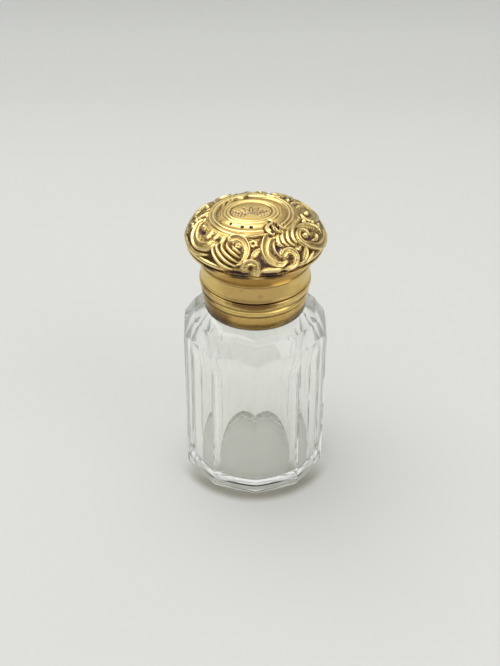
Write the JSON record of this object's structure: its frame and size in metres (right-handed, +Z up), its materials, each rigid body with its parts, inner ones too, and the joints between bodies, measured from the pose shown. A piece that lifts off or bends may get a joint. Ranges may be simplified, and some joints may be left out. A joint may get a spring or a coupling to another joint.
{
  "type": "scent bottle",
  "caption": "Faceted clear glass scent bottle with a gilt neck mount, a hinged domed embossed lid and a ground glass stopper.",
  "frame": {"origin": "centre of the flat underside that the bottle stands on", "axes": "+Z up along the bottle's axis, -Y the front, +Y the hinge side, +X the right hand side seen from the front"},
  "size_m": [0.038, 0.04, 0.0798],
  "materials": {
    "clear_glass": "polished cut glass",
    "stopper_glass": "polished head, ground plug",
    "gilt": "worn gilding, polished",
    "gilt_inside": "satin gilding",
    "hinge_pin": "satin",
    "cement": "matte plaster"
  },
  "bodies": {
    "bottle": {"glass_bottle": "clear_glass", "neck_cement": "cement", "neck_collar": "gilt", "collar_bezel": "gilt_inside", "collar_knuckle_left": "gilt_inside", "collar_knuckle_right": "gilt_inside", "hinge_pin": "hinge_pin"},
    "lid": {"lid_band": "gilt", "lid_dome": "gilt", "lid_knuckle": "gilt_inside"},
    "stopper": {"glass_stopper": "stopper_glass"}
  },
  "joints": [
    {"name": "lid_hinge", "type": "hinge", "parent": "bottle", "child": "lid", "pos_m": [0, 0.01595, 0.06125], "axis": [-1, 0, 0], "range_deg": [0, 110]},
    {"name": "stopper_lift", "type": "slide", "parent": "bottle", "child": "stopper", "axis": [0, 0, 1], "range_m": [0, 0.01]}
  ]
}
